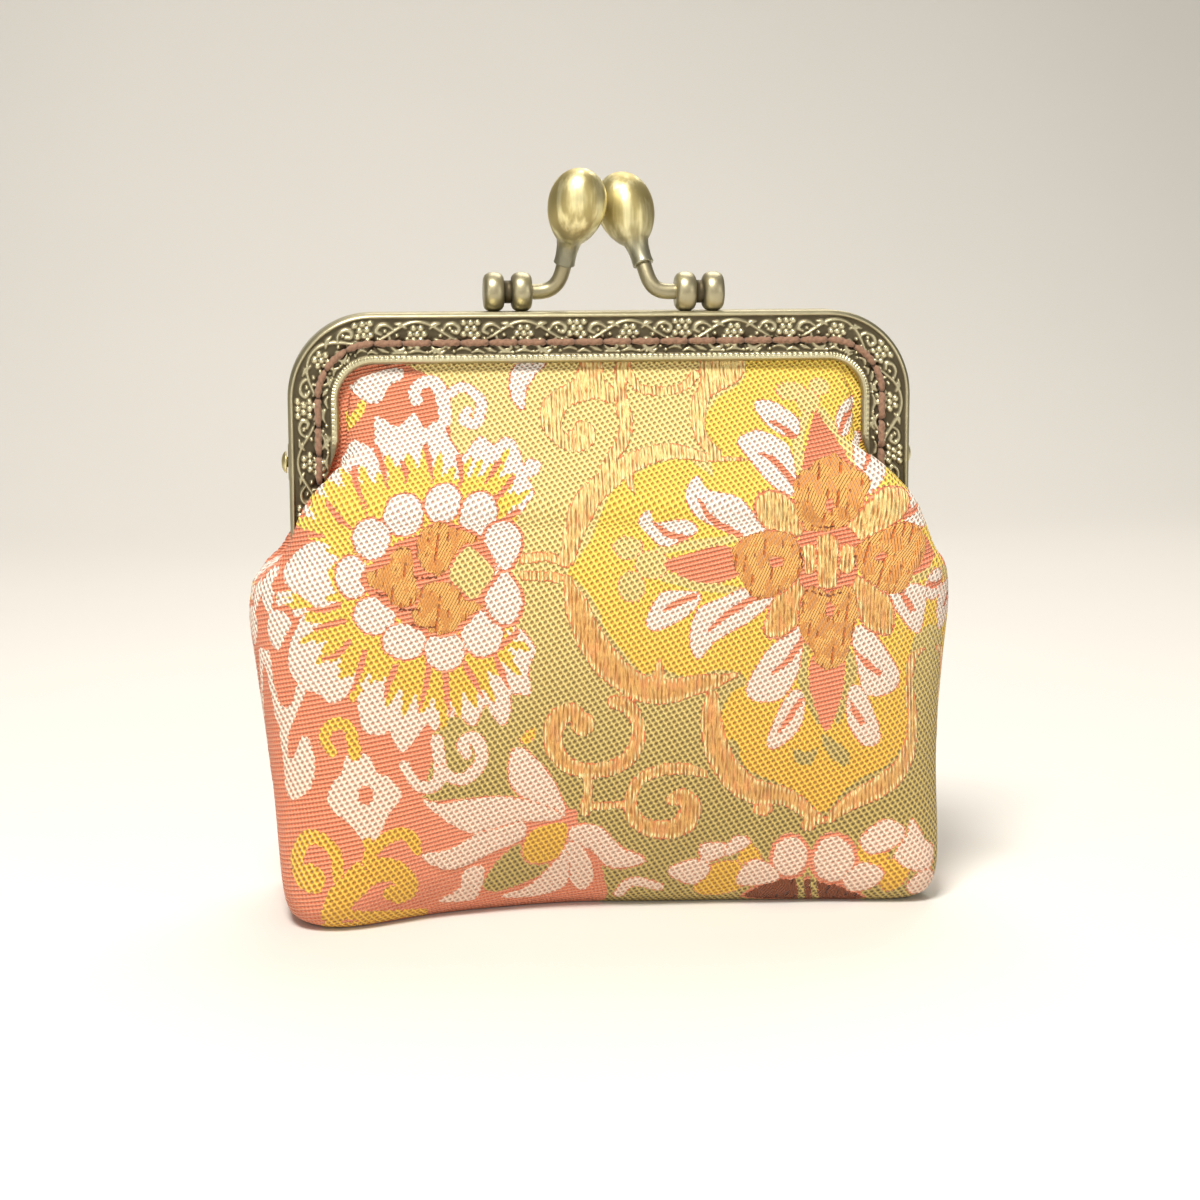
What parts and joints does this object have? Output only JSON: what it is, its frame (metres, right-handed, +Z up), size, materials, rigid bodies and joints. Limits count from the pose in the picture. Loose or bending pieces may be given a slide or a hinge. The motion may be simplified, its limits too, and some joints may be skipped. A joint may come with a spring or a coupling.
{
  "type": "fabric pouch with kiss-lock frame",
  "caption": "Small brocade pouch sewn into a hinged, embossed brass frame that snaps shut with two olive-shaped knobs; it stands on its flat base.",
  "frame": {"origin": "on the surface that the pouch stands on, under the middle of its box", "axes": "+Z up towards the knobs, +X to the right as seen from the front, -Y to the front"},
  "size_m": [0.0964, 0.0361, 0.1001],
  "materials": {
    "antique_brass": "stamped relief, darkened in the recesses",
    "polished_brass": "smooth, worn bright",
    "brocade": "woven floral brocade in coral, white, yellow and gold",
    "thread": "twisted brown sewing thread"
  },
  "bodies": {
    "root": {"front_frame": "antique_brass", "back_frame": "antique_brass", "front_clasp_bead": "polished_brass", "back_clasp_bead": "polished_brass", "right_rivet": "polished_brass", "left_rivet": "polished_brass", "front_panel": "brocade", "back_panel": "brocade"}
  },
  "joints": []
}
